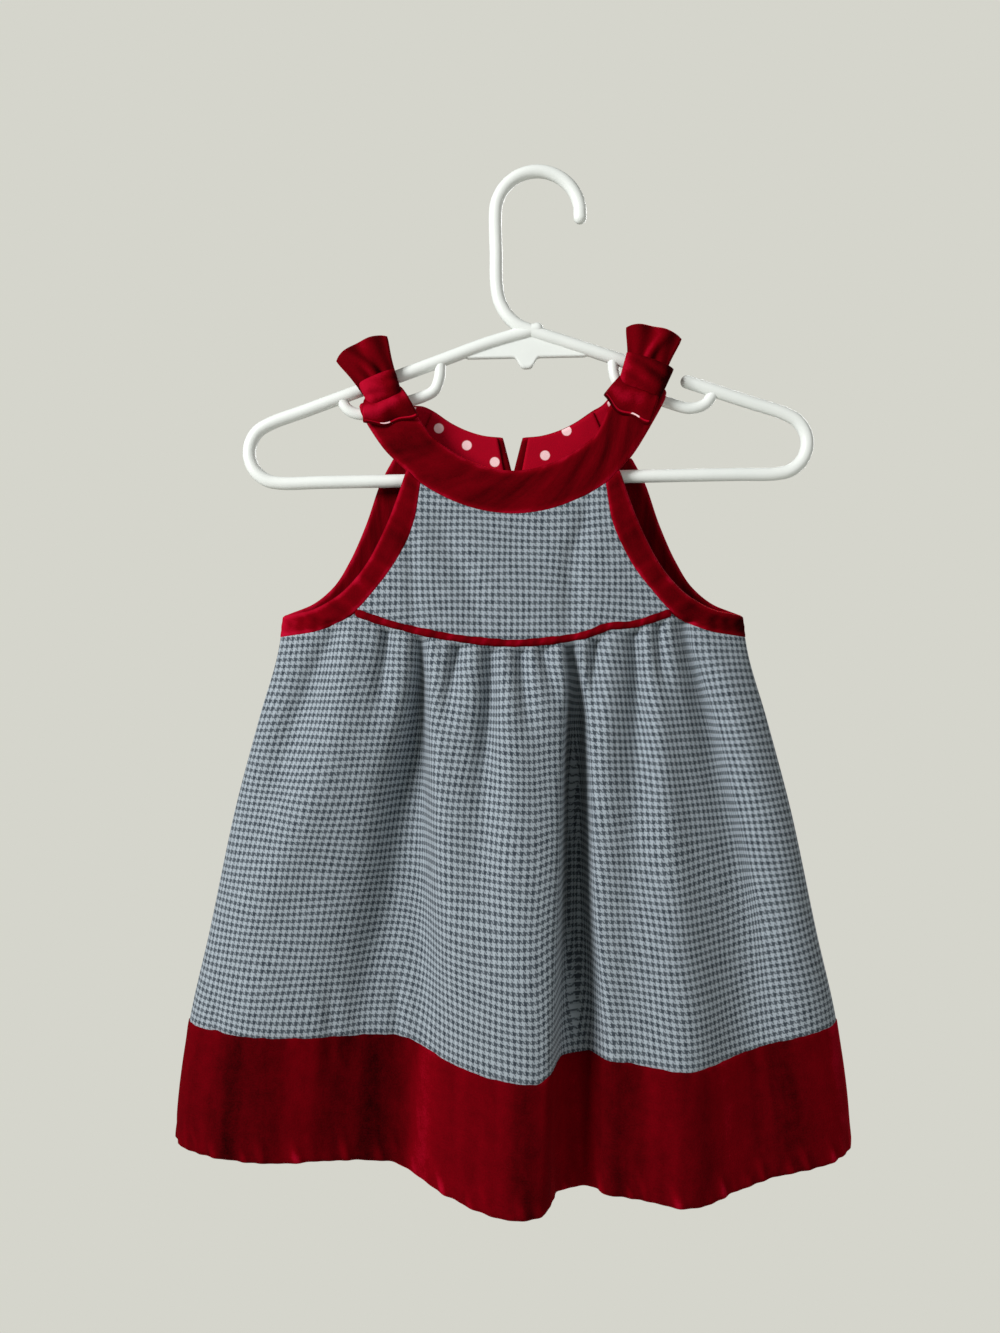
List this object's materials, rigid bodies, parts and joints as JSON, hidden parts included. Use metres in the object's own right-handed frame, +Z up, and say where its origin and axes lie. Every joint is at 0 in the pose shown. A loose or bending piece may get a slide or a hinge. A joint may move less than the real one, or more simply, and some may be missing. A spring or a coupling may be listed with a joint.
{
  "type": "sundress",
  "caption": "Sleeveless A-line child's sundress in small-check tweed with velveteen neckband, piping, hem band and shoulder bows, hung on a moulded hanger.",
  "frame": {"origin": "the top of the inside of the hanger's hook, where it rests on its peg", "axes": "+Z up, +X to the right seen from the front, the front of the dress faces -Y"},
  "size_m": [0.3592, 0.0667, 0.5431],
  "materials": {
    "tweed": "small houndstooth check, grey-blue and charcoal, matt",
    "velveteen": "crimson velveteen, short pile with a soft sheen",
    "dotted_cotton": "red cotton with pale polka dots",
    "white_plastic": "white moulded plastic, satin gloss"
  },
  "bodies": {
    "root": {"front_yoke": "tweed", "back_yoke_left": "tweed", "back_yoke_right": "tweed", "skirt_front": "tweed", "skirt_back": "tweed", "front_neckband": "velveteen", "back_neckband_left": "velveteen", "back_neckband_right": "velveteen", "armhole_binding_left": "velveteen", "armhole_binding_right": "velveteen", "waist_piping": "velveteen", "hem_band_front": "velveteen", "hem_band_back": "velveteen", "bow_left_upper": "velveteen", "bow_left_knot": "velveteen", "bow_left_lower": "velveteen", "bow_right_upper": "velveteen", "bow_right_knot": "velveteen", "bow_right_lower": "velveteen", "neck_facing_left": "dotted_cotton", "neck_facing_right": "dotted_cotton", "hanger": "white_plastic"}
  },
  "joints": []
}
